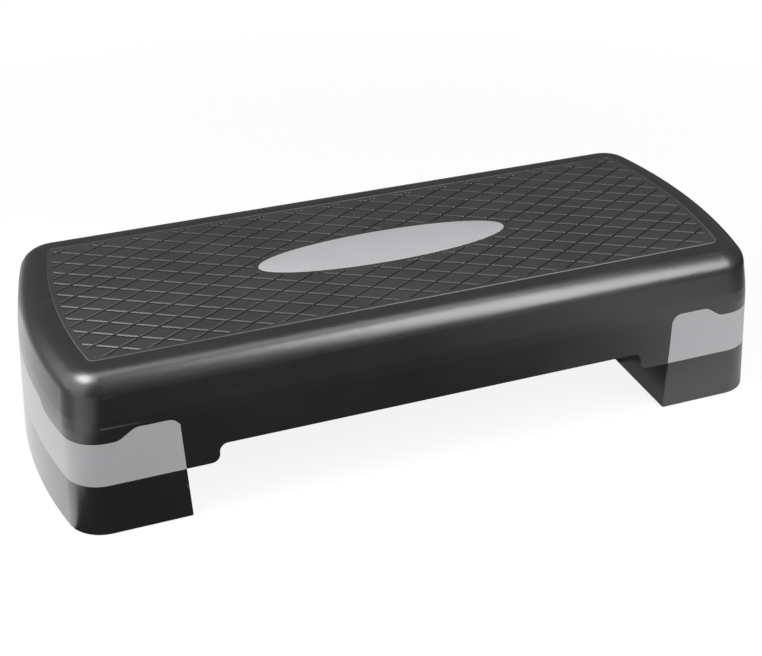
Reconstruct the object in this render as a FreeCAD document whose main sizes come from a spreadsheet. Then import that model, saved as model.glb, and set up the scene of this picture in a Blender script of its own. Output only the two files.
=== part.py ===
"""Aerobic step platform: a ribbed deck with an inlaid tread mat, on two risers with pull-off lower feet.

Millimetres, +Z up, with the origin on the floor under the middle of the platform.
X runs along the platform's length and the front side faces -Y.
"""

import FreeCAD, Part
import Sketcher
import math
import os
import re

SIZES = {
    # Plan of the platform where it meets the floor
    "half_length": 353.5,
    "half_width": 148.0,
    "end_radius": 487.0,
    "corner_radius": 33.5,
    # Sides: how far they lean in, per millimetre of height
    "lower_slope": 0.068,
    "upper_slope": 0.162,
    "leg_slope": 0.036,
    # Heights, each measured from the one before it
    "rim_height": 1.0,
    "foot_height": 49.3,
    "arch_rise": 17.3,
    "corner_rise": 41.3,
    "tab_step": 10.0,
    "end_tab_step": 8.0,
    "shoulder_step": 4.9,
    "upper_height": 44.0,
    # Deck shell
    "deck_wall": 3.0,
    "roof_thickness": 4.2,
    "top_edge_radius": 21.0,
    "skirt_tab": 28.0,
    "arch_blend": 8.0,
    "rib_depth": 26.0,
    "rib_thickness": 2.4,
    "cross_rib_pitch": 64.0,
    "long_rib_pitch": 62.0,
    # Notches in the skirt and the riser tabs that fill them
    "leg_length": 119.2,
    "tab_width": 42.0,
    "tab_run": 15.0,
    "end_tab_half": 62.0,
    "end_tab_run": 13.0,
    "tab_corner": 10.0,
    "step_blend": 12.0,
    "seam_gap": 0.4,
    # Risers
    "riser_wall": 3.0,
    "ceiling_drop": 2.5,
    "ceiling_thickness": 3.0,
    "lap_gap": 0.5,
    "lap_wall": 2.4,
    "lap_over": 4.0,
    "riser_rib_lift": 5.0,
    # Plug fit between a foot and its riser
    "lip_gap": 0.5,
    "lip_wall": 2.4,
    "lip_height": 11.0,
    "post_radius": 8.0,
    "post_bore": 5.0,
    "post_headroom": 11.0,
    "post_cap": 3.0,
    "post_gap": 0.4,
    "socket_wall": 2.6,
    "socket_lift": 3.0,
    "post_from_leg": 33.0,
    "post_from_end": 32.0,
    "post_aside": 36.0,
    # Feet
    "foot_wall": 3.0,
    "foot_edge_radius": 2.0,
    "plate_thickness": 3.0,
    "foot_rib_lift": 5.0,
    "foot_rib_pitch": 56.0,
    "foot_rib_from_leg": 59.0,
    # Floor pads
    "pad_radius": 13.0,
    "pad_thickness": 3.0,
    "pad_edge": 0.8,
    "pad_stem_radius": 4.0,
    "pad_stem_height": 8.0,
    "pad_stem_gap": 0.15,
    "pad_boss_wall": 2.0,
    "pad_from_leg": 25.0,
    "pad_from_end": 41.0,
    "pad_from_side": 45.0,
    # Screws and the deck bosses they bite into
    "boss_radius": 7.0,
    "boss_from_leg": 24.0,
    "boss_from_end": 46.0,
    "boss_from_side": 49.0,
    "screw_radius": 2.1,
    "screw_gap": 0.1,
    "screw_length": 22.0,
    "screw_head_radius": 4.5,
    "screw_head_height": 3.0,
    "screw_head_edge": 0.9,
    "screw_hole_gap": 0.5,
    # Tread mat and its recess
    "mat_end_margin": 39.5,
    "mat_side_margin": 41.0,
    "mat_end_radius": 500.0,
    "mat_corner_radius": 7.0,
    "mat_thickness": 2.1,
    "mat_edge": 0.6,
    "mat_gap": 0.4,
    "recess_depth": 1.6,
    # Oval badge plate
    "badge_half_length": 125.0,
    "badge_half_width": 30.6,
    "badge_thickness": 2.6,
    "badge_edge": 0.9,
    "badge_gap": 0.6,
    "peg_radius": 2.0,
    "peg_length": 2.4,
    "peg_gap": 0.2,
    "peg_along": 90.0,
    "peg_aside": 12.0,
}

# How far a cutting shape runs on past the face it opens
PAST = 1.0
# How near two places are that count as one
CLOSE = 0.01

# Levels, as expressions on the sizes
RIM = "rim_height"
SEAM = "foot_height"
ARCH = "(foot_height + arch_rise)"
CORNER = "(foot_height + corner_rise)"
TAB = "(foot_height + corner_rise + tab_step)"
END_TAB = "(foot_height + corner_rise + end_tab_step)"
SHOULDER = "(foot_height + corner_rise + tab_step + shoulder_step)"
PAST_SHOULDER = f"({SHOULDER} + shoulder_step)"
TOP = f"({SHOULDER} + upper_height)"
ROOF = f"({TOP} - roof_thickness)"
BED = f"({TOP} - recess_depth)"
CEILING_TOP = f"({CORNER} - ceiling_drop)"
CEILING = f"({CEILING_TOP} - ceiling_thickness)"
LAP_TOP = f"({TAB} + lap_over)"
PLATE = f"({SEAM} - plate_thickness)"
LIP_TOP = f"({SEAM} + lip_height)"

# Places along X, as expressions on the sizes
LEG = "(half_length - leg_length)"
TAB_OUTER = f"({LEG} + tab_width)"
ARCH_HALF = f"({LEG} - skirt_tab)"
BEYOND = "(half_length + half_width)"

doc = FreeCAD.newDocument("step_platform")
sheet = doc.addObject("Spreadsheet::Sheet", "Sizes")
for row, (alias, size) in enumerate(SIZES.items(), start=1):
    sheet.set(f"A{row}", alias)
    sheet.set(f"B{row}", str(size))
    sheet.setAlias(f"B{row}", alias)
doc.recompute()


# Expressions and simple solids

def sized(text):
    """The expression with each size's name pointed at its cell."""
    return re.sub(r"[a-z]\w*", lambda word: f"Sizes.{word[0]}" if word[0] in SIZES else word[0], text)


def value(text):
    """The number that an expression gives now, which a shape starts from."""
    return float(sheet.evalExpression(sized(text)))


def bind(item, expressions):
    for path, text in expressions.items():
        item.setExpression(path, sized(text))
    return item


def box(name, x, y, z):
    """A box between two expressions along each axis."""
    item = doc.addObject("Part::Box", name)
    sides = {"Length": x, "Width": y, "Height": z}
    for (side, (low, high)), axis in zip(sides.items(), "xyz"):
        bind(item, {side: f"({high}) - ({low})", f"Placement.Base.{axis}": low})
    return item


def cylinder(name, x, y, z, radius):
    item = doc.addObject("Part::Cylinder", name)
    low, high = z
    return bind(item, {
        "Radius": radius,
        "Height": f"({high}) - ({low})",
        "Placement.Base.x": x,
        "Placement.Base.y": y,
        "Placement.Base.z": low,
    })


def fuse(name, shapes):
    item = doc.addObject("Part::MultiFuse", name)
    item.Shapes = shapes
    item.Refine = True
    return item


def cut(name, base, tools):
    """The base less its tools, which are joined first."""
    item = doc.addObject("Part::Cut", name)
    item.Base = base
    item.Tool = tools[0] if len(tools) == 1 else fuse(f"{name}_tools", tools)
    item.Refine = True
    return item


def rounded(name, base, radius, picks):
    """The base with the edges that picks() chooses rounded to one radius."""
    doc.recompute()
    item = doc.addObject("Part::Fillet", name)
    item.Base = base
    size = value(radius)
    item.Edges = [(i, size, size) for i, edge in enumerate(base.Shape.Edges, start=1) if picks(edge)]
    return item


def mirrored(label, source):
    """The same piece for the left end."""
    item = doc.addObject("Part::Mirroring", label)
    item.Source = source
    item.Normal = FreeCAD.Vector(1, 0, 0)
    return item


def lies_at(**levels):
    """A test for edges that lie whole at one level along each named axis."""
    return lambda edge: all(
        abs(getattr(corner.Point, axis) - level) < CLOSE
        for corner in edge.Vertexes for axis, level in levels.items()
    )


def both(text):
    """An expression on the positive and on the negative side."""
    return (text, f"-({text})")


# Sketched plans: straight long sides, bowed ends and round corners

def corner_geometry(half_length, half_width, end_radius, corner_radius):
    """Centres of the end arc and of a corner arc, and the angle where they meet."""
    end_x = half_length - end_radius
    corner_y = half_width - corner_radius
    reach = math.sqrt((end_radius - corner_radius) ** 2 - corner_y ** 2)
    return end_x, end_x + reach, corner_y, math.atan2(corner_y, reach)


def arc(x, y, radius, start, end):
    circle = Part.Circle(FreeCAD.Vector(x, y, 0), FreeCAD.Vector(0, 0, 1), radius)
    return Part.ArcOfCircle(circle, start, end)


def line(x0, y0, x1, y1):
    return Part.LineSegment(FreeCAD.Vector(x0, y0, 0), FreeCAD.Vector(x1, y1, 0))


def constrain(sketch, name, expression, *details):
    index = sketch.addConstraint(Sketcher.Constraint(*details))
    sketch.renameConstraint(index, name)
    sketch.setExpression(f"Constraints.{name}", sized(expression))


def plan(name, height, half_length, half_width, end_radius, corner_radius, inner_edge=None):
    """A level sketch of the whole plan, or of its right end from inner_edge outwards."""
    sketch = doc.addObject("Sketcher::SketchObject", name)
    bind(sketch, {"Placement.Base.z": height})
    wide, radius, corner = value(half_width), value(end_radius), value(corner_radius)
    end_x, corner_x, corner_y, turn = corner_geometry(value(half_length), wide, radius, corner)
    start_x = value(inner_edge) if inner_edge else -corner_x
    quarter = math.pi / 2
    front, front_corner, end, back_corner, back = sketch.addGeometry([
        line(start_x, -wide, corner_x, -wide),
        arc(corner_x, -corner_y, corner, -quarter, -turn),
        arc(end_x, 0, radius, -turn, turn),
        arc(corner_x, corner_y, corner, turn, quarter),
        line(corner_x, wide, start_x, wide),
    ], False)
    ends, corners = [end], [front_corner, back_corner]
    chain = [front, front_corner, end, back_corner, back]
    if inner_edge:
        inner = sketch.addGeometry(line(start_x, wide, start_x, -wide), False)
        for first, second in ((back, inner), (inner, front)):
            sketch.addConstraint(Sketcher.Constraint("Coincident", first, 2, second, 1))
        sketch.addConstraint(Sketcher.Constraint("Vertical", inner))
        constrain(sketch, "inner_edge", inner_edge, "DistanceX", -1, 1, inner, 1, start_x)
    else:
        left_back, left_end, left_front = sketch.addGeometry([
            arc(-corner_x, corner_y, corner, quarter, 2 * quarter - turn),
            arc(-end_x, 0, radius, 2 * quarter - turn, 2 * quarter + turn),
            arc(-corner_x, -corner_y, corner, 2 * quarter + turn, 3 * quarter),
        ], False)
        ends.append(left_end)
        corners += [left_back, left_front]
        chain += [left_back, left_end, left_front, front]
    for first, second in zip(chain, chain[1:]):
        sketch.addConstraint(Sketcher.Constraint("Tangent", first, 2, second, 1))
    for side in (front, back):
        sketch.addConstraint(Sketcher.Constraint("Horizontal", side))
    for other in corners[1:]:
        sketch.addConstraint(Sketcher.Constraint("Equal", corners[0], other))
    for one, sign in zip(ends, (1, -1)):
        sketch.addConstraint(Sketcher.Constraint("PointOnObject", one, 3, -1))
        constrain(sketch, f"end_centre_{one}", f"{sign} * (({half_length}) - ({end_radius}))",
                  "DistanceX", -1, 1, one, 3, sign * end_x)
        constrain(sketch, f"end_radius_{one}", end_radius, "Radius", one, radius)
    constrain(sketch, "corner_radius", corner_radius, "Radius", corners[0], corner)
    constrain(sketch, "back_width", half_width, "DistanceY", -1, 1, back, 1, wide)
    constrain(sketch, "front_width", half_width, "DistanceY", front, 1, -1, 1, wide)
    return sketch


def inset_plan(name, height, lean, wall, inner_edge=None):
    """The platform's plan at a height. Its sides lean in, and a wall draws its corners in as well."""
    sizes = [f"({size} - ({lean}) - ({wall}))" for size in ("half_length", "half_width", "end_radius")]
    return plan(name, height, *sizes, f"(corner_radius - ({wall}))", inner_edge)


def slab(name, sections):
    """A solid with straight sides through plans, each given as height, lean, wall and any inner edge."""
    item = doc.addObject("Part::Loft", name)
    item.Sections = [inset_plan(f"{name}_plan_{i}", *section) for i, section in enumerate(sections)]
    item.Solid = True
    item.Ruled = True
    return item


def closed_lines(sketch, points):
    """Straight lines through points given as expressions, each held from the sketch's origin."""
    places = [(value(along), value(up)) for along, up in points]
    for i, place in enumerate(places):
        sketch.addGeometry(line(*place, *places[(i + 1) % len(places)]), False)
    for i, point in enumerate(points):
        sketch.addConstraint(Sketcher.Constraint("Coincident", i, 2, (i + 1) % len(points), 1))
        for direction, text, place in zip("XY", point, places[i]):
            if text == "0":
                axis = -2 if direction == "X" else -1
                sketch.addConstraint(Sketcher.Constraint("PointOnObject", i, 1, axis))
            else:
                constrain(sketch, f"place_{direction}_{i}", text,
                          f"Distance{direction}", -1, 1, i, 1, place)


def extruded(name, sketch, forward, symmetric=False):
    item = doc.addObject("Part::Extrusion", name)
    item.Base = sketch
    item.DirMode = "Normal"
    item.Solid = True
    item.Symmetric = symmetric
    return bind(item, {"LengthFwd": forward})


def front_prism(name, points):
    """A prism right across the platform, from a profile in X and Z."""
    sketch = doc.addObject("Sketcher::SketchObject", f"{name}_profile")
    sketch.Placement = FreeCAD.Placement(FreeCAD.Vector(), FreeCAD.Rotation(FreeCAD.Vector(1, 0, 0), 90))
    closed_lines(sketch, points)
    return extruded(name, sketch, f"2 * {BEYOND}", symmetric=True)


def end_prism(name, points, start):
    """A prism from a place along X out past the right end, from a profile in Y and Z."""
    sketch = doc.addObject("Sketcher::SketchObject", f"{name}_profile")
    sketch.Placement = FreeCAD.Placement(FreeCAD.Vector(), FreeCAD.Rotation(FreeCAD.Vector(1, 1, 1), 120))
    bind(sketch, {"Placement.Base.x": start})
    closed_lines(sketch, points)
    return extruded(name, sketch, BEYOND)


# How far the moulded sides lean in at a height

def lower_lean(height):
    """The feet's, the risers' and the deck's sides up to the deck's shoulder."""
    return f"lower_slope * {height}"


def upper_lean(height):
    """The deck's sides above its shoulder."""
    return f"lower_slope * {SHOULDER} + upper_slope * ({height} - {SHOULDER})"


def leg_edge(height, more="0"):
    """The legs' inner face, which leans out as it rises."""
    return f"{LEG} + leg_slope * {height} + ({more})"


def leg_slab(name, low, high, wall="0", inner="0"):
    """A solid between two heights of the right leg, less a wall outside and another at its inner face."""
    heights = (low, high)
    return slab(name, [(height, lower_lean(height), wall, leg_edge(height, inner)) for height in heights])


def spots(prefix, near, far, aside):
    """Four places in the right leg, named from the front and from the middle."""
    for depth, y in zip(("front", "back"), (f"-{aside}", aside)):
        for reach, x in zip(("inner", "outer"), (near, far)):
            yield f"{prefix}_{depth}_{reach}", x, y


BOSSES = list(spots("boss", f"({LEG} + boss_from_leg)", "(half_length - boss_from_end)",
                    "(half_width - boss_from_side)"))
POSTS = list(spots("post", f"({LEG} + post_from_leg)", "(half_length - post_from_end)", "post_aside"))
PADS = list(spots("pad", f"({LEG} + pad_from_leg)", "(half_length - pad_from_end)",
                  "(half_width - pad_from_side)"))


# Seam between the skirt and a riser: one profile cuts the deck and, less the gap, shapes the riser's tabs

def front_tabs(name, inner_low, inner_high, gap):
    """The space of the right riser seen from the front, with a soft step at its tab's outer side."""
    floor = f"({SEAM} - {PAST})"
    top, low = f"({TAB} - {gap})", f"({CORNER} - {gap})"
    step_high, step_low = f"{TAB_OUTER} - {gap}", f"{TAB_OUTER} + tab_run - {gap}"
    prism = front_prism(name, [
        (inner_low, floor), (inner_high, top), (step_high, top),
        (step_low, low), (BEYOND, low), (BEYOND, floor),
    ])
    soft_high = rounded(f"{name}_soft_high", prism, f"step_blend - {gap}",
                        lies_at(x=value(step_high), z=value(top)))
    return rounded(f"{name}_soft", soft_high, f"step_blend + {gap}",
                   lies_at(x=value(step_low), z=value(low)))


def end_tab(name, gap):
    """The space of the right riser seen from the end, with a soft step at each side of its tab."""
    floor = f"({CORNER} - ceiling_drop)"
    top, low = f"({END_TAB} - {gap})", f"({CORNER} - {gap})"
    high_y, low_y = f"(end_tab_half - {gap})", f"(end_tab_half + end_tab_run - {gap})"
    prism = end_prism(name, [
        (f"-{BEYOND}", floor), (BEYOND, floor), (BEYOND, low), (low_y, low), (high_y, top),
        (f"-{high_y}", top), (f"-{low_y}", low), (f"-{BEYOND}", low),
    ], f"{TAB_OUTER} + tab_run")
    shape = prism
    for side, sign in (("back", 1), ("front", -1)):
        shape = rounded(f"{name}_{side}_high", shape, f"step_blend - {gap}",
                        lies_at(y=sign * value(high_y), z=value(top)))
        shape = rounded(f"{name}_{side}_low", shape, f"step_blend + {gap}",
                        lies_at(y=sign * value(low_y), z=value(low)))
    return shape


# Deck: outer skin less a ribbed core, then the skirt's arch and notches, the bosses and the mat's recess

def deck_core():
    below = f"({SEAM} - {PAST})"
    cavity = slab("deck_cavity", [
        (below, lower_lean(below), "deck_wall"),
        (SHOULDER, lower_lean(SHOULDER), "deck_wall"),
        (ROOF, upper_lean(ROOF), "deck_wall"),
    ])
    soft_cavity = rounded("deck_soft_cavity", cavity, "top_edge_radius - roof_thickness",
                          lies_at(z=value(ROOF)))
    rise = (f"{ROOF} - rib_depth", TOP)
    half = "rib_thickness / 2"
    ribs = []
    for i in range(-5, 6):
        centre = f"{i} * cross_rib_pitch"
        ribs.append(box(f"cross_rib_{i + 5}", (f"{centre} - {half}", f"{centre} + {half}"),
                        ("-half_width", "half_width"), rise))
    for i in range(-1, 2):
        centre = f"{i} * long_rib_pitch"
        ribs.append(box(f"long_rib_{i + 1}", ("-half_length", "half_length"),
                        (f"{centre} - {half}", f"{centre} + {half}"), rise))
    return cut("deck_core", soft_cavity, ribs)


def arch():
    """The low opening of the skirt between the legs, rounded at the tabs and at its top corners."""
    floor = f"({SEAM} - {PAST})"
    points = [(f"-{BEYOND}", floor), (f"-{BEYOND}", SEAM), (f"-{ARCH_HALF}", SEAM), (f"-{ARCH_HALF}", ARCH),
              (ARCH_HALF, ARCH), (ARCH_HALF, SEAM), (BEYOND, SEAM), (BEYOND, floor)]
    shape = front_prism("arch_prism", points)
    for level in (SEAM, ARCH):
        for x in both(ARCH_HALF):
            shape = rounded(f"arch_{len(doc.Objects)}", shape, "min(arch_blend; arch_rise / 2.2)",
                            lies_at(x=value(x), z=value(level)))
    return shape


def notch():
    """What the right riser takes out of the skirt."""
    inner_top = leg_edge(TAB)
    tabs = front_tabs("notch_front", leg_edge(f"({SEAM} - {PAST})"), inner_top, "0")
    soft_tabs = rounded("notch_front_corner", tabs, "tab_corner", lies_at(x=value(inner_top), z=value(TAB)))
    return fuse("notch", [soft_tabs, end_tab("notch_end", "0")])


def mat_recess():
    sketch = plan("mat_recess_plan", BED, "half_length - mat_end_margin + mat_gap",
                  "half_width - mat_side_margin + mat_gap", "mat_end_radius + mat_gap",
                  "mat_corner_radius + mat_gap")
    return extruded("mat_recess", sketch, f"recess_depth + {PAST}")


def peg_places():
    for i, x in enumerate(both("peg_along")):
        for j, y in enumerate(both("peg_aside")):
            yield f"{i}_{j}", x, y


def deck():
    skin = slab("deck_skin", [
        (SEAM, lower_lean(SEAM), "0"),
        (TAB, lower_lean(TAB), "0"),
        (PAST_SHOULDER, upper_lean(PAST_SHOULDER), "0"),
        (TOP, upper_lean(TOP), "0"),
    ])
    soft_skin = rounded("deck_soft_skin", skin, "top_edge_radius", lies_at(z=value(TOP)))
    right_notch = notch()
    openings = [deck_core(), arch(), right_notch, mirrored("left_notch", right_notch)]
    shell = cut("deck_shell", soft_skin, openings)
    bosses = []
    bores = [mat_recess()]
    for place, x, y in BOSSES:
        for side, along in zip(("right", "left"), both(x)):
            bosses.append(cylinder(f"deck_{side}_{place}", along, y, (CEILING_TOP, f"{ROOF} + {PAST}"),
                                   "boss_radius"))
            bores.append(cylinder(f"deck_{side}_{place}_pilot", along, y,
                                  (f"{CEILING_TOP} - {PAST}", f"{CEILING} + screw_length + {PAST}"),
                                  "screw_radius + screw_gap"))
    for place, x, y in peg_places():
        bores.append(cylinder(f"peg_hole_{place}", x, y, (f"{ROOF} - {PAST}", TOP), "peg_radius + peg_gap"))
    return cut("deck", fuse("deck_with_bosses", [shell] + bosses), bores)


# Risers: a band with raised tabs, a ceiling under the deck's bosses and a lap behind the deck's skirt

def riser_cheek():
    """The outer band, cut to the tabs' profile and rounded where its tabs meet the legs' inner face."""
    band = leg_slab("riser_band", SEAM, f"({TAB} + {PAST})", inner="seam_gap")
    inside = f"{LEG} - {PAST}"
    space = fuse("riser_space", [front_tabs("riser_front", inside, inside, "seam_gap"),
                                 end_tab("riser_end", "seam_gap")])
    tabbed = doc.addObject("Part::MultiCommon", "riser_tabbed")
    tabbed.Shapes = [band, space]
    top = f"({TAB} - seam_gap)"
    return rounded("riser_cheek", tabbed, "tab_corner - seam_gap",
                   lies_at(x=value(leg_edge(top, "seam_gap")), z=value(top)))


def is_leg_corner(edge):
    """Whether an edge is one of a leg's two inner uprights."""
    first, last = edge.Vertexes[0].Point, edge.Vertexes[-1].Point
    return max(first.x, last.x) < value(leg_edge(SEAM)) + CLOSE and abs(first.z - last.z) > PAST


def riser_core():
    """The hollow under the ceiling, less its ribs and the sockets for the foot's posts."""
    hollow = leg_slab("riser_hollow", f"({SEAM} - {PAST})", CEILING, "riser_wall", "riser_wall")
    half = "rib_thickness / 2"
    depth = (f"{LIP_TOP} + riser_rib_lift", CEILING_TOP)
    stays = [box("riser_middle_rib", (LEG, "half_length"), (f"-{half}", half), depth)]
    for place, x, y in POSTS:
        stays.append(cylinder(f"riser_{place}_socket", x, y, (f"{SEAM} + socket_lift", CEILING_TOP),
                              "post_radius + post_gap + socket_wall"))
        reach = ("0", "half_width") if not y.startswith("-") else ("-half_width", "0")
        stays.append(box(f"riser_{place}_rib", (f"{x} - {half}", f"{x} + {half}"), reach, depth))
    return cut("riser_core", hollow, stays)


def right_riser():
    lap = leg_slab("riser_lap", CEILING, LAP_TOP, "deck_wall + lap_gap", "seam_gap")
    upper = leg_slab("riser_upper_hollow", CEILING_TOP, f"({LAP_TOP} + {PAST})",
                     "deck_wall + lap_gap + lap_wall", "riser_wall")
    solid = fuse("riser_solid", [riser_cheek(), lap])
    bores = [riser_core(), upper]
    for place, x, y in BOSSES:
        bores.append(cylinder(f"riser_{place}_hole", x, y,
                              (f"{CEILING} - {PAST}", f"{CEILING_TOP} + {PAST}"),
                              "screw_radius + screw_hole_gap"))
    for place, x, y in POSTS:
        bores.append(cylinder(f"riser_{place}_bore", x, y, (SEAM, CEILING), "post_radius + post_gap"))
    return cut("right_riser", solid, bores)


# Feet: a band with a top plate, ribs and pad bosses below it, and a lip and four posts that plug upwards

def foot_core():
    hollow = leg_slab("foot_hollow", f"({RIM} - {PAST})", PLATE, "foot_wall", "foot_wall")
    half = "rib_thickness / 2"
    height = (f"{RIM} + foot_rib_lift", SEAM)
    middle = f"{LEG} + foot_rib_from_leg"
    stays = [box("foot_long_rib", (f"{middle} - {half}", f"{middle} + {half}"),
                 ("-half_width", "half_width"), height)]
    for i, share in enumerate((-1.5, -0.5, 0.5, 1.5)):
        centre = f"{share} * foot_rib_pitch"
        stays.append(box(f"foot_cross_rib_{i}", (LEG, "half_length"),
                         (f"{centre} - {half}", f"{centre} + {half}"), height))
    for place, x, y in PADS:
        stays.append(cylinder(f"foot_{place}_boss", x, y, ("pad_thickness", SEAM),
                              "pad_radius + pad_boss_wall"))
    return cut("foot_core", hollow, stays)


def foot_lip():
    """The upright ring that locates the foot inside its riser."""
    outset, inset = "riser_wall + lip_gap", "riser_wall + lip_gap + lip_wall"
    outer = leg_slab("lip_outer", PLATE, LIP_TOP, outset, outset)
    inner = leg_slab("lip_inner", SEAM, f"({LIP_TOP} + {PAST})", inset, inset)
    return cut("foot_lip", outer, [inner])


def right_foot():
    band = leg_slab("foot_band", RIM, SEAM)
    soft_band = rounded("foot_soft_band", band, "foot_edge_radius", is_leg_corner)
    shell = cut("foot_shell", soft_band, [foot_core()])
    posts = []
    bores = []
    for place, x, y in POSTS:
        post_top = f"{CEILING} - post_headroom"
        posts.append(cylinder(f"foot_{place}", x, y, (PLATE, post_top), "post_radius"))
        bores.append(cylinder(f"foot_{place}_bore", x, y, (f"{PLATE} - {PAST}", f"{post_top} - post_cap"),
                              "post_bore"))
    for place, x, y in PADS:
        bores.append(cylinder(f"foot_{place}_bore", x, y,
                              ("0", f"pad_thickness + pad_stem_height + {PAST}"),
                              "pad_stem_radius + pad_stem_gap"))
    return cut("right_foot", fuse("foot_with_plugs", [shell, foot_lip()] + posts), bores)


# Revolved pieces: floor pads

def revolved(label, points, x, y):
    """A body turned round its own upright axis from a profile of radius and height expressions."""
    body = doc.addObject("PartDesign::Body", label)
    upright = next(f for f in body.Origin.OriginFeatures if f.Role == "XZ_Plane")
    sketch = body.newObject("Sketcher::SketchObject", f"{label}_profile")
    sketch.AttachmentSupport = [(upright, "")]
    sketch.MapMode = "FlatFace"
    closed_lines(sketch, points)
    turned = body.newObject("PartDesign::Revolution", f"{label}_turned")
    turned.Profile = sketch
    turned.ReferenceAxis = (sketch, ["V_Axis"])
    turned.Angle = 360
    bind(body, {"Placement.Base.x": x, "Placement.Base.y": y})
    return body


def pad(label, x, y):
    top = "pad_thickness + pad_stem_height"
    return revolved(label, [
        ("0", "0"), ("pad_radius - pad_edge", "0"), ("pad_radius", "pad_edge"),
        ("pad_radius", "pad_thickness"), ("pad_stem_radius", "pad_thickness"),
        ("pad_stem_radius", f"{top} - pad_edge"),
        ("pad_stem_radius - pad_edge", top), ("0", top),
    ], x, y)


def pads():
    made = []
    for side, sign in (("left", "-"), ("right", "")):
        for place, x, y in PADS:
            depth, reach = place.split("_")[1:]
            made.append(pad(f"{side}_{depth}_{reach}_pad", f"{sign}{x}", y))
    return made


# Screws: a round head under the riser's ceiling and a shank up into the deck's boss

def screw(name, x, y):
    shank = cylinder(f"{name}_shank", x, y, (CEILING, f"{CEILING} + screw_length"), "screw_radius")
    head = cylinder(f"{name}_head", x, y, (f"{CEILING} - screw_head_height", CEILING), "screw_head_radius")
    soft_head = rounded(f"{name}_soft_head", head, "screw_head_edge",
                        lies_at(z=value(f"{CEILING} - screw_head_height")))
    return fuse(name, [soft_head, shank])


def screws(side, sign):
    item = doc.addObject("Part::Compound", f"{side}_riser_screws")
    item.Links = [screw(f"{side}_{place}_screw", f"{sign}{x}", y) for place, x, y in BOSSES]
    return item


# Tread mat and badge plate, both laid on the deck's recess

def oval(name, height, thickness, growth):
    ring = doc.addObject("Part::Ellipse", f"{name}_line")
    bind(ring, {
        "MajorRadius": f"badge_half_length + {growth}",
        "MinorRadius": f"badge_half_width + {growth}",
        "Placement.Base.z": height,
    })
    return extruded(name, ring, thickness)


def tread_mat():
    sketch = plan("mat_plan", BED, "half_length - mat_end_margin", "half_width - mat_side_margin",
                  "mat_end_radius", "mat_corner_radius")
    blank = extruded("mat_blank", sketch, "mat_thickness")
    soft_blank = rounded("mat_soft_blank", blank, "mat_edge", lies_at(z=value(f"{BED} + mat_thickness")))
    opening = oval("mat_opening", f"{BED} - {PAST}", f"mat_thickness + 2 * {PAST}", "badge_gap")
    return cut("tread_mat", soft_blank, [opening])


def badge_plate():
    plate = oval("badge_blank", BED, "badge_thickness", "0")
    soft_plate = rounded("badge_soft_blank", plate, "badge_edge",
                         lies_at(z=value(f"{BED} + badge_thickness")))
    pegs = [cylinder(f"badge_peg_{place}", x, y, (f"{BED} - peg_length", f"{BED} + {PAST}"), "peg_radius")
            for place, x, y in peg_places()]
    return fuse("badge_plate", [soft_plate] + pegs)


def checked(piece):
    """The piece, once it is known to be sound."""
    if piece.Shape.isNull() or not piece.Shape.isValid():
        raise RuntimeError(f"{piece.Label} has no sound shape")
    return piece


riser = right_riser()
foot = right_foot()
pieces = [deck(), tread_mat(), badge_plate()]
pieces += [riser, mirrored("left_riser", riser), foot, mirrored("left_foot", foot)]
pieces += pads()
pieces += [screws("left", "-"), screws("right", "")]
doc.recompute()

for item in doc.Objects:
    if "Invalid" in item.State or "Error" in item.State:
        raise RuntimeError(f"{item.Label} did not compute: {item.State}")
os.makedirs("parts", exist_ok=True)
for piece in [checked(piece) for piece in pieces]:
    piece.Shape.exportStep(f"parts/{piece.Label}.step")
    print(piece.Label, len(piece.Shape.Solids), round(piece.Shape.Volume / 1000, 1), piece.Shape.BoundBox)
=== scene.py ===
import math

import bmesh
import bpy
from mathutils import Matrix, Vector


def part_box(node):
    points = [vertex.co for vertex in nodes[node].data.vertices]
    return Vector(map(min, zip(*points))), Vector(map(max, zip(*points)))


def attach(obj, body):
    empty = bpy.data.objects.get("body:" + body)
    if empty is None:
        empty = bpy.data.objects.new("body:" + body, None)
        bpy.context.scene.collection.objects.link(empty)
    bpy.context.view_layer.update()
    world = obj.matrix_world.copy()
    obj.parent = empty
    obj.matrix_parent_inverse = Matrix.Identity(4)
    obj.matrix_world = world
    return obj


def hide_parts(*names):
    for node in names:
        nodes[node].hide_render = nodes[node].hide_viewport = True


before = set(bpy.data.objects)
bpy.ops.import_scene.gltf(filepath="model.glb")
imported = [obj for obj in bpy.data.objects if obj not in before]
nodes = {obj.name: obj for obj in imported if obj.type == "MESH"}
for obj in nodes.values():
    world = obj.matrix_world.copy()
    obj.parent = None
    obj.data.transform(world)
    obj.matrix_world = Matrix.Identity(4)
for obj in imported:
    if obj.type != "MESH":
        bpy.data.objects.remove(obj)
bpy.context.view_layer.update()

scene = bpy.context.scene
scene.view_settings.view_transform = "Standard"


# The camera stands to the front left of the step, about 1.4 m away, and looks down on it
# through a short telephoto lens. Its aim lies a little above the floor under the step.
PHOTO_WIDTH = 762
FOCAL_PIXELS = 1387.7
SWING = math.radians(-20.86)
LIFT = math.radians(31.02)
DISTANCE = 1.4025
AIM_UP = 0.04992
AIM_RIGHT = -0.00314

backward = Vector((math.sin(SWING) * math.cos(LIFT), -math.cos(SWING) * math.cos(LIFT), math.sin(LIFT)))
view_right = Vector((0, 0, 1)).cross(backward).normalized()
view_up = backward.cross(view_right)
aim = AIM_UP * view_up + AIM_RIGHT * view_right

lens = bpy.data.cameras.new("camera")
lens.sensor_fit = "HORIZONTAL"
lens.lens = FOCAL_PIXELS / PHOTO_WIDTH * lens.sensor_width
camera = bpy.data.objects.new("camera", lens)
turn = Matrix((view_right, view_up, backward)).transposed().to_4x4()
camera.matrix_world = Matrix.Translation(aim + DISTANCE * backward) @ turn
scene.collection.objects.link(camera)
scene.camera = camera


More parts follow.
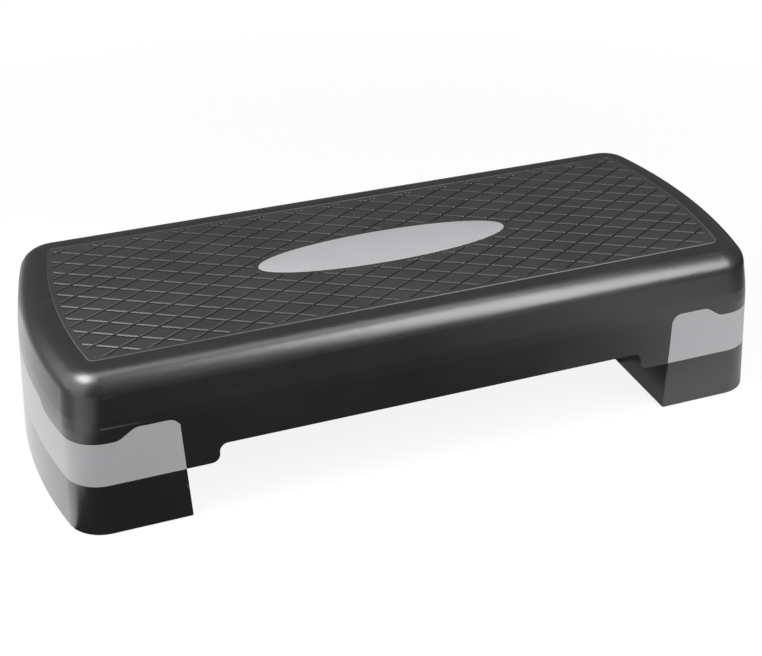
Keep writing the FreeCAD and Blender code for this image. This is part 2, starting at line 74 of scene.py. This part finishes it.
# The studio floor is a wide clear sheet over the white backdrop. It keeps the step's soft shadow, and a foot
# that is pulled off below it shows through. Only the step's shine sees painted light on it: a painted glow
# along it, given as (x, glow), with bright pools by the two ends and painted shade between and in front on
# the left, and painted light patches, given as (left, right, front, back, glow).
FLOOR_HALF = 30.0
FLOOR_LEVEL = -0.0001
FLOOR_WHITE = (0.70, 0.70, 0.70, 1.0)
FLOOR_CLEAR = 0.88
SHADOW_FULL = 0.45
SHADOW_GONE = 1.10
POOL_REACH = 1.5
PAINTED_GLOW_ALONG = (
    (-1.00, 0.20), (-0.60, 0.28), (-0.525, 0.95), (-0.46, 1.50), (-0.42, 1.50), (-0.40, 0.04),
    (0.10, 0.07), (0.25, 0.10), (0.36, 0.85), (0.45, 0.85), (0.52, 1.05), (0.56, 1.05), (0.64, 0.03),
)
PAINTED_SHADE_EDGE = -0.19
PAINTED_LIGHT_PATCHES = (
    (-3.00, 3.00, -3.00, 3.00, 0.08),
    (-1.10, -0.46, -0.72, -0.19, 1.25),
    (-0.42, -0.28, -0.128, 0.30, 1.70),
    (0.16, 0.36, -0.228, -0.147, 0.95),
    (0.212, 0.235, -0.147, -0.06, 0.35),
)


class Wire:
    """A socket in a node tree that Python's arithmetic can be written on."""

    def __init__(self, tree, socket=None):
        self.tree = tree
        self.socket = socket

    def node(self, kind, settings=None, inputs=None, output=0):
        made = self.tree.nodes.new("ShaderNode" + kind)
        for name, value in (settings or {}).items():
            if name == "stops":
                elements = made.color_ramp.elements
                while len(elements) < len(value):
                    elements.new(1.0)
                for element, (place, grey) in zip(elements, value):
                    element.position = place
                    element.color = (grey, grey, grey, 1.0)
            else:
                setattr(made, name, value)
        for name, value in (inputs or {}).items():
            if isinstance(value, Wire):
                self.tree.links.new(value.socket, made.inputs[name])
            else:
                made.inputs[name].default_value = value
        return Wire(self.tree, made.outputs[output])

    def maths(self, operation, first, second):
        return self.node("Math", {"operation": operation}, {0: first, 1: second})

    def __add__(self, other):
        return self.maths("ADD", self, other)

    __radd__ = __add__

    def __sub__(self, other):
        return self.maths("SUBTRACT", self, other)

    def __rsub__(self, other):
        return self.maths("SUBTRACT", other, self)

    def __mul__(self, other):
        return self.maths("MULTIPLY", self, other)

    __rmul__ = __mul__


def new_material(name):
    material = bpy.data.materials.new(name)
    material.use_nodes = True
    material.node_tree.nodes.clear()
    return material, Wire(material.node_tree)


def show(surface):
    output = surface.tree.nodes.new("ShaderNodeOutputMaterial")
    surface.tree.links.new(surface.socket, output.inputs["Surface"])


def finished_mesh(name, shape, smooth_below=0.0):
    mesh = bpy.data.meshes.new(name)
    shape.to_mesh(mesh)
    shape.free()
    if smooth_below:
        mesh.shade_smooth()
        mesh.set_sharp_from_angle(angle=smooth_below)
    return mesh


def new_piece(name, mesh, material):
    mesh.materials.append(material)
    piece = bpy.data.objects.new(name, mesh)
    scene.collection.objects.link(piece)
    return piece


floor_white, wire = new_material("floor_white")
place = wire.node("TexCoord", output="Object")
along = wire.node("SeparateXYZ", inputs={"Vector": place}, output="X")
across = wire.node("SeparateXYZ", inputs={"Vector": place}, output="Y")
# The glow that only the shine sees is painted light: bright pools by the ends, painted shade between them.
stops = [(0.5 + 0.5 * x / POOL_REACH, glow) for x, glow in PAINTED_GLOW_ALONG]
light = wire.node("ValToRGB", {"stops": stops}, {"Fac": along * (0.5 / POOL_REACH) + 0.5})
# In front on the left the glow is cut to painted shade.
beside = wire.maths("GREATER_THAN", across, PAINTED_SHADE_EDGE)
light *= wire.maths("MAXIMUM", beside, wire.maths("GREATER_THAN", along, 0.0))
# Painted light patches, laid over the glow where they are brighter.
for left, right, front, back, glow in PAINTED_LIGHT_PATCHES:
    inside = wire.maths("GREATER_THAN", along, left) * wire.maths("LESS_THAN", along, right)
    inside *= wire.maths("GREATER_THAN", across, front) * wire.maths("LESS_THAN", across, back)
    light = wire.maths("MAXIMUM", light, glow * inside)
shining = wire.node("Emission", inputs={"Color": light})
board = wire.node("BsdfDiffuse", inputs={"Color": FLOOR_WHITE})
glossy = wire.node("LightPath", output="Is Glossy Ray")
mirrored = glossy + wire.node("LightPath", output="Is Transmission Ray")
upper = wire.node("MixShader", inputs={0: mirrored, 1: board, 2: shining})
away = wire.node("VectorMath", {"operation": "LENGTH"}, {0: place}, output="Value")
bare = wire.node("MapRange", inputs={"Value": away, "From Min": SHADOW_FULL, "From Max": SHADOW_GONE})
seen = wire.node("LightPath", output="Is Camera Ray")
under = wire.node("NewGeometry", output="Backfacing")
clear = wire.maths("MAXIMUM", under, seen * (FLOOR_CLEAR + (1 - FLOOR_CLEAR) * bare))
show(wire.node("MixShader", inputs={0: clear, 1: upper, 2: wire.node("BsdfTransparent")}))

shape = bmesh.new()
bmesh.ops.create_grid(shape, x_segments=1, y_segments=1, size=FLOOR_HALF)
bmesh.ops.translate(shape, vec=(0, 0, FLOOR_LEVEL), verts=shape.verts)
floor = new_piece("floor", finished_mesh("floor", shape), floor_white)


# The studio light is a key softbox in front on the right, a softbox and a wide low fill on the left, and a
# long strip overhead that picks out the grooves of the tread. The room is dim all round, and the camera
# alone sees it as a white backdrop.
ROOM = (0.22, 0.22, 0.224, 1.0)
BACKDROP = (1.0, 1.0, 1.0, 1.0)
LIT_POINT = Vector((0, 0, 0.08))

world = bpy.data.worlds.new("studio")
world.use_nodes = True
wire = Wire(world.node_tree)
seen = wire.node("LightPath", output="Is Camera Ray")
air = wire.node("Mix", {"data_type": "RGBA"}, {0: seen, 6: ROOM, 7: BACKDROP}, output=2)
world.node_tree.links.new(air.socket, world.node_tree.nodes["Background"].inputs["Color"])
scene.world = world


def softbox(name, around, lift, reach, width, height, watts):
    """A lamp that faces the step from a turn around it (right of its front), a lift and a reach."""
    around, lift = math.radians(around), math.radians(lift)
    way = Vector((math.sin(around) * math.cos(lift), -math.cos(around) * math.cos(lift), math.sin(lift)))
    lamp = bpy.data.lights.new(name, "AREA")
    lamp.shape = "RECTANGLE"
    lamp.size, lamp.size_y = width, height
    lamp.energy = watts
    box = bpy.data.objects.new(name, lamp)
    box.location = LIT_POINT + reach * way
    box.rotation_euler = (-way).to_track_quat("-Z", "Y").to_euler()
    scene.collection.objects.link(box)


softbox("key_softbox", around=35, lift=43, reach=1.20, width=0.60, height=1.15, watts=16.5)
softbox("left_softbox", around=-80, lift=50, reach=1.15, width=0.55, height=0.45, watts=11.5)
softbox("left_fill", around=-88, lift=20, reach=1.30, width=1.90, height=0.95, watts=8.8)
softbox("top_softbox", around=0, lift=90, reach=1.20, width=1.30, height=0.36, watts=4.0)


# Each foot is an open box of black plastic, injection moulded with ribs inside. It plugs up
# into the riser above it and pulls off downwards.
BLACK = (0.0045, 0.0045, 0.0047, 1.0)
BLACK_FADED = (0.0065, 0.0065, 0.0068, 1.0)
SCUFF_PALE = (0.1000, 0.0980, 0.0960, 1.0)
CLOUD_SCALE = 9.0
CLOUD_GLOSS = 0.12
GRAIN_SCALE = 1100.0
GRAIN_HEIGHT = 0.00006
GRAIN_STRENGTH = 0.35
SCUFF_TURN = (0.20, 0.10, 0.35)
SCUFF_STRETCH = (9.0, 420.0, 420.0)
SCUFF_SHOW = 0.35
SPECK_SCALE = 55.0
SPECK_RADIUS = 0.055
SPECK_RARE = 0.72
SPECK_SHOW = 0.8
MARK_GLOSS = 0.15


def moulded_plastic(name, plain, faded, scuffed, roughness, specular):
    """Injection-moulded plastic: a fine even grain, clouds of gloss, and a few pale scuffs and specks."""
    material, wire = new_material(name)
    place = wire.node("TexCoord", output="Object")
    cloud = wire.node("TexNoise", inputs={"Vector": place, "Scale": CLOUD_SCALE, "Detail": 4.0})
    grain = wire.node("TexNoise", inputs={"Vector": place, "Scale": GRAIN_SCALE, "Detail": 2.0})
    along = wire.node("Mapping", inputs={"Vector": place, "Rotation": SCUFF_TURN, "Scale": SCUFF_STRETCH})
    streak = wire.node("TexNoise", inputs={"Vector": along, "Scale": 1.0, "Detail": 2.0})
    scuff = wire.node("MapRange", inputs={"Value": streak, "From Min": 0.70, "From Max": 0.80})
    cell = {"Vector": place, "Scale": SPECK_SCALE}
    near = wire.node("TexVoronoi", inputs=cell, output="Distance")
    draw = wire.node("TexVoronoi", inputs=cell, output="Color")
    speck = wire.maths("LESS_THAN", near, SPECK_RADIUS) * wire.maths("GREATER_THAN", draw, SPECK_RARE)
    tone = wire.node("MapRange", inputs={"Value": cloud, "From Min": 0.35, "From Max": 0.65})
    body = wire.node("Mix", {"data_type": "RGBA"}, {0: tone, 6: plain, 7: faded}, output=2)
    marks = wire.maths("MAXIMUM", scuff * SCUFF_SHOW, speck * SPECK_SHOW)
    colour = wire.node("Mix", {"data_type": "RGBA"}, {0: marks, 6: body, 7: scuffed}, output=2)
    grained = {"Strength": GRAIN_STRENGTH, "Distance": GRAIN_HEIGHT, "Height": grain}
    show(wire.node("BsdfPrincipled", inputs={
        "Base Color": colour,
        "Roughness": roughness + CLOUD_GLOSS * (cloud - 0.5) + MARK_GLOSS * marks,
        "Specular IOR Level": specular,
        "Normal": wire.node("Bump", inputs=grained),
    }))
    return material


def dress(node, material):
    nodes[node].data.materials.clear()
    nodes[node].data.materials.append(material)


foot_plastic = moulded_plastic("foot_plastic", BLACK, BLACK_FADED, SCUFF_PALE, roughness=0.30, specular=1.0)
for side in ("left", "right"):
    dress(side + "_foot", foot_plastic)


# Eight round pads of soft black rubber carry the step. Each has a stem that is pushed up into
# a boss of its foot, and two rings moulded into its sole for grip.
PAD_EDGE = 0.0008
PAD_THICKNESS = 0.0030
STEM_RADIUS = 0.0040
STEM_EDGE = 0.0008
RING_DEPTH = 0.0008
RINGS = ((0.0040, 0.0056), (0.0082, 0.0098))
TURN_STEPS = 48
MERGE = 1e-6
TURNED_SMOOTH = math.radians(30)
RUBBER = (0.017, 0.017, 0.017, 1.0)
RUBBER_DUSTY = (0.050, 0.048, 0.046, 1.0)
RUBBER_ROUGHNESS = 0.70
DUST_ROUGHNESS = 0.15
DUST_SCALE = 160.0
SKIN_SCALE = 1500.0
SKIN_HEIGHT = 0.0001


def turned(shape, profile, centre, steps):
    """Turns a profile of (radius, height) points about the upright line through a centre."""
    chain = [shape.verts.new((centre[0] + radius, centre[1], height)) for radius, height in profile]
    edges = [shape.edges.new(pair) for pair in zip(chain, chain[1:])]
    bmesh.ops.spin(shape, geom=chain + edges, cent=(centre[0], centre[1], 0), axis=(0, 0, 1),
                   angle=2 * math.pi, steps=steps, use_merge=True)
    bmesh.ops.remove_doubles(shape, verts=shape.verts, dist=MERGE)


pad_rubber, wire = new_material("pad_rubber")
place = wire.node("TexCoord", output="Object")
dust = wire.node("TexNoise", inputs={"Vector": place, "Scale": DUST_SCALE, "Detail": 5.0})
skin = wire.node("TexNoise", inputs={"Vector": place, "Scale": SKIN_SCALE, "Detail": 2.0})
film = wire.node("MapRange", inputs={"Value": dust, "From Min": 0.45, "From Max": 0.75})
colour = wire.node("Mix", {"data_type": "RGBA"}, {0: film, 6: RUBBER, 7: RUBBER_DUSTY}, output=2)
show(wire.node("BsdfPrincipled", inputs={
    "Base Color": colour,
    "Roughness": RUBBER_ROUGHNESS + DUST_ROUGHNESS * film,
    "Specular IOR Level": 0.3,
    "Normal": wire.node("Bump", inputs={"Strength": 0.4, "Distance": SKIN_HEIGHT, "Height": skin}),
}))

for side in ("left", "right"):
    for corner in ("front_inner", "front_outer", "back_inner", "back_outer"):
        node = f"{side}_{corner}_pad"
        low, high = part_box(node)
        radius = (high.x - low.x) / 2
        profile = [(0, low.z)]
        for inner, outer in RINGS:
            profile += [(inner, low.z), (inner, low.z + RING_DEPTH)]
            profile += [(outer, low.z + RING_DEPTH), (outer, low.z)]
        profile += [(radius - PAD_EDGE, low.z), (radius, low.z + PAD_EDGE)]
        profile += [(radius, low.z + PAD_THICKNESS), (STEM_RADIUS, low.z + PAD_THICKNESS)]
        profile += [(STEM_RADIUS, high.z - STEM_EDGE), (STEM_RADIUS - STEM_EDGE, high.z), (0, high.z)]
        shape = bmesh.new()
        turned(shape, profile, (low + high) / 2, TURN_STEPS)
        bmesh.ops.recalc_face_normals(shape, faces=shape.faces)
        pad = new_piece(node + "_sole", finished_mesh(node + "_sole", shape, TURNED_SMOOTH), pad_rubber)
        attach(pad, side + "_foot_set")
        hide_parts(node)


# The two risers are bands of light grey plastic, moulded like the feet and screwed up into the
# deck. Their tabs stand up into the notches in the deck's skirt.
GREY = (0.242, 0.244, 0.249, 1.0)
GREY_FADED = (0.262, 0.264, 0.269, 1.0)
GREY_SCUFF = (0.208, 0.208, 0.210, 1.0)

riser_plastic = moulded_plastic("riser_plastic", GREY, GREY_FADED, GREY_SCUFF, roughness=0.44, specular=0.4)
for side in ("left", "right"):
    dress(side + "_riser", riser_plastic)


# Four zinc-plated screws hold each riser. Their round heads bear on the riser's ceiling, with a
# cross recess for the driver, and their shanks are driven up into the deck's bosses.
HEAD_RADIUS = 0.0045
HEAD_HEIGHT = 0.0030
HEAD_EDGE = 0.0009
HEAD_LAND = 0.0030
SHANK_RADIUS = 0.0021
SHANK_POINT = 0.0030
CROSS_HALF = 0.0021
CROSS_CELLS = 3
CROSS_DEPTH = 0.0016
HEAD_STEPS = 24
ZINC = (0.620, 0.625, 0.640, 1.0)
ZINC_DULL = (0.420, 0.420, 0.425, 1.0)
ZINC_ROUGHNESS = 0.28
BLOOM_ROUGHNESS = 0.25
BLOOM_SCALE = 700.0


def driven_screw(shape, centre, low, high):
    """One screw that points up: its head's face is at low and its tip at high."""
    profile = [(HEAD_LAND, low), (HEAD_RADIUS - HEAD_EDGE, low), (HEAD_RADIUS, low + HEAD_EDGE)]
    profile += [(HEAD_RADIUS, low + HEAD_HEIGHT), (SHANK_RADIUS, low + HEAD_HEIGHT)]
    profile += [(SHANK_RADIUS, high - SHANK_POINT), (0, high)]
    turned(shape, profile, centre, HEAD_STEPS)
    rim = [edge for edge in shape.edges if edge.is_boundary]
    cross = bmesh.ops.create_grid(shape, x_segments=CROSS_CELLS, y_segments=CROSS_CELLS, size=CROSS_HALF)
    bmesh.ops.translate(shape, vec=(centre[0], centre[1], low), verts=cross["verts"])
    cells = [face for face in shape.faces if all(vert in cross["verts"] for vert in face.verts)]
    corners = [cell for cell in cells if len([edge for edge in cell.edges if edge.is_boundary]) == 2]
    arms = [cell for cell in cells if cell not in corners]
    bmesh.ops.delete(shape, geom=corners, context="FACES")
    brim = [edge for cell in arms for edge in cell.edges if edge.is_boundary]
    bmesh.ops.bridge_loops(shape, edges=rim + brim)
    sunk = bmesh.ops.extrude_face_region(shape, geom=arms)
    floor_verts = [item for item in sunk["geom"] if isinstance(item, bmesh.types.BMVert)]
    bmesh.ops.translate(shape, vec=(0, 0, CROSS_DEPTH), verts=floor_verts)
    bmesh.ops.delete(shape, geom=arms, context="FACES")


screw_steel, wire = new_material("screw_steel")
place = wire.node("TexCoord", output="Object")
bloom = wire.node("TexNoise", inputs={"Vector": place, "Scale": BLOOM_SCALE, "Detail": 4.0})
dull = wire.node("MapRange", inputs={"Value": bloom, "From Min": 0.40, "From Max": 0.70})
colour = wire.node("Mix", {"data_type": "RGBA"}, {0: dull, 6: ZINC, 7: ZINC_DULL}, output=2)
show(wire.node("BsdfPrincipled", inputs={
    "Base Color": colour,
    "Metallic": 1.0,
    "Roughness": ZINC_ROUGHNESS + BLOOM_ROUGHNESS * dull,
}))

for side in ("left", "right"):
    node = side + "_riser_screws"
    low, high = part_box(node)
    shape = bmesh.new()
    for x in (low.x + HEAD_RADIUS, high.x - HEAD_RADIUS):
        for y in (low.y + HEAD_RADIUS, high.y - HEAD_RADIUS):
            driven_screw(shape, (x, y), low.z, high.z)
    bmesh.ops.recalc_face_normals(shape, faces=shape.faces)
    screws = new_piece(node + "_set", finished_mesh(node + "_set", shape, TURNED_SMOOTH), screw_steel)
    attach(screws, "platform")
    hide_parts(node)


# The deck is one large black moulding, open below and ribbed under its top, with a soft round
# along its top edge. Its plastic has a satin grain.
deck_plastic = moulded_plastic("deck_plastic", BLACK, BLACK_FADED, SCUFF_PALE, roughness=0.34, specular=1.0)
dress("deck", deck_plastic)


# The tread mat is a sheet of dark grey rubber, let into the top of the deck and glued there. A bead
# runs round its edge with a painted highlight that grows paler towards the front, and two sets of grooves
# leave diamonds between.
MAT_END_RADIUS = 0.500
MAT_CORNER = 0.007
MAT_END_STEPS = 24
MAT_CORNER_STEPS = 5
MAT_EDGE_DROP = 0.0001
MAT_BEAD = ((0.0003, 0.0004), (0.0004, 0.0001), (0.0004, -0.0001), (0.0003, -0.0003))
MAT_PLAIN = 0.0040
MAT_PLAIN_OVAL = 0.0040
OVAL_GAP = 0.0006
OVAL_STEPS = 120
GROOVE_ALONG = 0.0390
GROOVE_ACROSS = 0.0224
GROOVE_CROSSING = Vector((-0.0016, -0.0038, 0))
GROOVE_PROFILE = ((0.0006, 0.0018), (0.0008, 0.0007), (0.0020, 0.0))
GROOVE_RUN_OUT = 0.0005
GROOVED = 1
TREAD = (0.020, 0.0193, 0.0189, 1.0)
TREAD_WORN = (0.025, 0.0242, 0.0238, 1.0)
TREAD_PAINTED_HIGHLIGHT = (0.060, 0.0585, 0.057, 1.0)
TREAD_ROUGHNESS = 0.32
WEAR_ROUGHNESS = 0.08
WEAR_SCALE = 14.0
PEBBLE_SCALE = 900.0
PEBBLE_HEIGHT = 0.0001


def bowed_face(shape, half_length, half_width, end_radius, corner_radius, height):
    """A flat face with straight long sides, ends that bow outwards and round corners."""
    middle = half_length - end_radius
    swing = math.asin(half_width / end_radius)
    corner_x = middle + end_radius * math.cos(swing)
    bows = []
    for side in (1, -1):
        start = shape.verts.new((side * corner_x, -side * half_width, height))
        bow = bmesh.ops.spin(shape, geom=[start], cent=(side * middle, 0, height), axis=(0, 0, 1),
                             angle=2 * swing, steps=MAT_END_STEPS)
        stop = next(item for item in bow["geom_last"] if isinstance(item, bmesh.types.BMVert))
        bows.append((start, stop))
    (right_front, right_back), (left_back, left_front) = bows
    shape.edges.new((right_back, left_back))
    shape.edges.new((left_front, right_front))
    bmesh.ops.contextual_create(shape, geom=shape.edges[:])
    corners = [right_front, right_back, left_back, left_front]
    tangent = corner_radius * math.tan((math.pi / 2 - swing) / 2)
    bmesh.ops.bevel(shape, geom=corners, offset=tangent, affect="VERTICES", segments=MAT_CORNER_STEPS,
                    profile=0.5, material=-1)
    bmesh.ops.reverse_faces(shape, faces=shape.faces)
    return next(iter(shape.faces))


def oval_face(shape, half_length, half_width, height):
    made = bmesh.ops.create_circle(shape, cap_ends=True, radius=1, segments=OVAL_STEPS)
    bmesh.ops.scale(shape, vec=(half_length, half_width, 1), verts=made["verts"])
    bmesh.ops.translate(shape, vec=(0, 0, height), verts=made["verts"])
    return made["verts"][0].link_faces[0]


def tip(loop, side):
    return max((vert for edge in loop for vert in edge.verts), key=lambda vert: side * vert.co.x)


def ring_faces(shape, outer, inner):
    """Two flat faces, front and back, that fill the stretch between an outer and an inner loop."""
    spokes = [shape.edges.new((tip(outer, side), tip(inner, side))) for side in (-1, 1)]
    made = []
    for side in (-1, 1):
        half = [edge for edge in outer + inner if side * sum(vert.co.y for vert in edge.verts) > 0]
        made += bmesh.ops.contextual_create(shape, geom=half + spokes)["faces"]
    return made


def groove_depth(aside):
    """How deep a groove is to the side of its middle: a narrow slit with a chamfer at its mouth."""
    aside = max(aside, GROOVE_PROFILE[0][0])
    for (near, deep), (far, shallow) in zip(GROOVE_PROFILE, GROOVE_PROFILE[1:]):
        if aside < far:
            return deep + (shallow - deep) * (aside - near) / (far - near)
    return 0.0


def grooved_parts(shape):
    faces = [face for face in shape.faces if face.material_index == GROOVED]
    edges = list(dict.fromkeys(edge for face in faces for edge in face.edges))
    verts = list(dict.fromkeys(vert for face in faces for vert in face.verts))
    return verts, edges, faces


mat_low, mat_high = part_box("tread_mat")
badge_low, badge_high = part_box("badge_plate")
shape = bmesh.new()
rubbed = shape.faces.layers.float.new("rubbed")
sheet = bowed_face(shape, mat_high.x, mat_high.y, MAT_END_RADIUS, MAT_CORNER, mat_high.z - MAT_EDGE_DROP)
for width, rise in MAT_BEAD:
    bead = bmesh.ops.inset_individual(shape, faces=[sheet], thickness=width, depth=rise,
                                      use_even_offset=True)
    # The bead's faces carry a painted highlight, paler towards the front.
    for face in bead["faces"]:
        face[rubbed] = 0.5 - face.calc_center_median().y / (2 * mat_high.y)
bmesh.ops.inset_individual(shape, faces=[sheet], thickness=MAT_PLAIN, use_even_offset=True)
run_out = bmesh.ops.inset_individual(shape, faces=[sheet], thickness=GROOVE_RUN_OUT, use_even_offset=True)
grooved = list(run_out["faces"])
outer_loop = list(sheet.edges)
bmesh.ops.delete(shape, geom=[sheet], context="FACES_ONLY")

reaches = [OVAL_GAP + margin for margin in (MAT_PLAIN_OVAL + GROOVE_RUN_OUT, MAT_PLAIN_OVAL, 0)]
halves = [(badge_high.x + reach, badge_high.y + reach) for reach in reaches]
oval = oval_face(shape, *halves[0], mat_high.z)
grooved += ring_faces(shape, outer_loop, list(oval.edges))
for outer, inner in zip(halves, halves[1:]):
    ring = bmesh.ops.extrude_discrete_faces(shape, faces=[oval])
    oval = ring["faces"][0]
    bmesh.ops.scale(shape, vec=(inner[0] / outer[0], inner[1] / outer[1], 1), verts=oval.verts)
    if outer is halves[0]:
        grooved += [face for edge in oval.edges for face in edge.link_faces if face is not oval]
bmesh.ops.delete(shape, geom=[oval], context="FACES_ONLY")
for face in grooved:
    face.material_index = GROOVED

cuts = sorted({side * aside for aside, deep in GROOVE_PROFILE for side in (-1, 1)})
families = []
for lean in (1, -1):
    slope = Vector((1 / GROOVE_ALONG, lean / GROOVE_ACROSS, 0))
    families.append((slope.normalized(), 1 / slope.length))
for across, pitch in families:
    count = int((mat_high.x * abs(across.x) + mat_high.y * abs(across.y)) / pitch)
    for number in range(-count, count + 1):
        for offset in cuts:
            verts, edges, faces = grooved_parts(shape)
            bmesh.ops.bisect_plane(shape, geom=verts + edges + faces, dist=MERGE, plane_no=across,
                                   plane_co=GROOVE_CROSSING + across * (number * pitch + offset))

verts, edges, faces = grooved_parts(shape)
inner_verts = [vert for vert in verts if all(face.material_index == GROOVED for face in vert.link_faces)]
for vert in inner_verts:
    turns = [(vert.co - GROOVE_CROSSING).dot(across) / pitch for across, pitch in families]
    asides = [abs(turn - round(turn)) * pitch for turn, (across, pitch) in zip(turns, families)]
    vert.co.z = mat_high.z - max(groove_depth(aside) for aside in asides)
spokes = [edge for edge in edges if all(abs(vert.co.y) < MERGE for vert in edge.verts)]
bmesh.ops.dissolve_edges(shape, edges=spokes, use_verts=True)
for face in shape.faces:
    face.material_index = 0

brink = [edge for edge in shape.edges if edge.is_boundary]
walls = bmesh.ops.extrude_edge_only(shape, edges=brink)
for item in walls["geom"]:
    if isinstance(item, bmesh.types.BMVert):
        item.co.z = mat_low.z
sole = [edge for edge in shape.edges if edge.is_boundary]
hole = [edge for edge in sole if all(abs(vert.co.x) < halves[0][0] for vert in edge.verts)]
ring_faces(shape, [edge for edge in sole if edge not in hole], hole)
bmesh.ops.recalc_face_normals(shape, faces=shape.faces)

tread_rubber, wire = new_material("tread_rubber")
place = wire.node("TexCoord", output="Object")
patch = wire.node("TexNoise", inputs={"Vector": place, "Scale": WEAR_SCALE, "Detail": 6.0})
pebble = wire.node("TexNoise", inputs={"Vector": place, "Scale": PEBBLE_SCALE, "Detail": 3.0})
worn = wire.node("MapRange", inputs={"Value": patch, "From Min": 0.40, "From Max": 0.68})
colour = wire.node("Mix", {"data_type": "RGBA"}, {0: worn, 6: TREAD, 7: TREAD_WORN}, output=2)
# The bead is painted paler by that amount: a painted highlight.
edge = wire.node("Attribute", {"attribute_name": "rubbed"}, output="Fac")
colour = wire.node("Mix", {"data_type": "RGBA"}, {0: edge, 6: colour, 7: TREAD_PAINTED_HIGHLIGHT}, output=2)
show(wire.node("BsdfPrincipled", inputs={
    "Base Color": colour,
    "Roughness": TREAD_ROUGHNESS + WEAR_ROUGHNESS * worn,
    "Specular IOR Level": 0.5,
    "Normal": wire.node("Bump", inputs={"Strength": 0.2, "Distance": PEBBLE_HEIGHT, "Height": pebble}),
}))
mat = new_piece("diamond_tread", finished_mesh("diamond_tread", shape), tread_rubber)
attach(mat, "platform")
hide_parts("tread_mat")


# The badge is a plain oval plate of silver-grey plastic in the middle of the mat. Four pegs under
# it are pressed into the deck, and its top edge is rounded.
BADGE_EDGE = 0.0009
BADGE_EDGE_STEPS = 4
BADGE_SMOOTH = math.radians(35)
PEG_RADIUS = 0.0020
PEG_ALONG = 0.090
PEG_ASIDE = 0.012
PEG_STEPS = 24
SILVER = (0.258, 0.260, 0.266, 1.0)
SILVER_DULL = (0.242, 0.244, 0.250, 1.0)
SILVER_ROUGHNESS = 0.42
HAZE_ROUGHNESS = 0.10
HAZE_SCALE = 26.0
FLECK_SCALE = 1300.0
FLECK_HEIGHT = 0.00006

shape = bmesh.new()
plate = oval_face(shape, badge_high.x, badge_high.y, mat_low.z)
raised = bmesh.ops.extrude_face_region(shape, geom=[plate])
top_verts = [item for item in raised["geom"] if isinstance(item, bmesh.types.BMVert)]
bmesh.ops.translate(shape, vec=(0, 0, badge_high.z - mat_low.z), verts=top_verts)
top_edges = [edge for edge in shape.edges if all(vert in top_verts for vert in edge.verts)]
bmesh.ops.bevel(shape, geom=top_edges, offset=BADGE_EDGE, affect="EDGES", segments=BADGE_EDGE_STEPS,
                profile=0.5, material=-1)
for x in (-PEG_ALONG, PEG_ALONG):
    for y in (-PEG_ASIDE, PEG_ASIDE):
        peg = [(0, badge_low.z), (PEG_RADIUS, badge_low.z), (PEG_RADIUS, mat_low.z), (0, mat_low.z)]
        turned(shape, peg, (x, y), PEG_STEPS)
bmesh.ops.recalc_face_normals(shape, faces=shape.faces)

badge_plastic, wire = new_material("badge_plastic")
place = wire.node("TexCoord", output="Object")
haze = wire.node("TexNoise", inputs={"Vector": place, "Scale": HAZE_SCALE, "Detail": 5.0})
fleck = wire.node("TexNoise", inputs={"Vector": place, "Scale": FLECK_SCALE, "Detail": 2.0})
dull = wire.node("MapRange", inputs={"Value": haze, "From Min": 0.40, "From Max": 0.65})
colour = wire.node("Mix", {"data_type": "RGBA"}, {0: dull, 6: SILVER, 7: SILVER_DULL}, output=2)
show(wire.node("BsdfPrincipled", inputs={
    "Base Color": colour,
    "Roughness": SILVER_ROUGHNESS + HAZE_ROUGHNESS * dull,
    "Specular IOR Level": 0.4,
    "Normal": wire.node("Bump", inputs={"Strength": 0.25, "Distance": FLECK_HEIGHT, "Height": fleck}),
}))
badge = new_piece("oval_badge", finished_mesh("oval_badge", shape, BADGE_SMOOTH), badge_plastic)
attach(badge, "platform")
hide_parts("badge_plate")
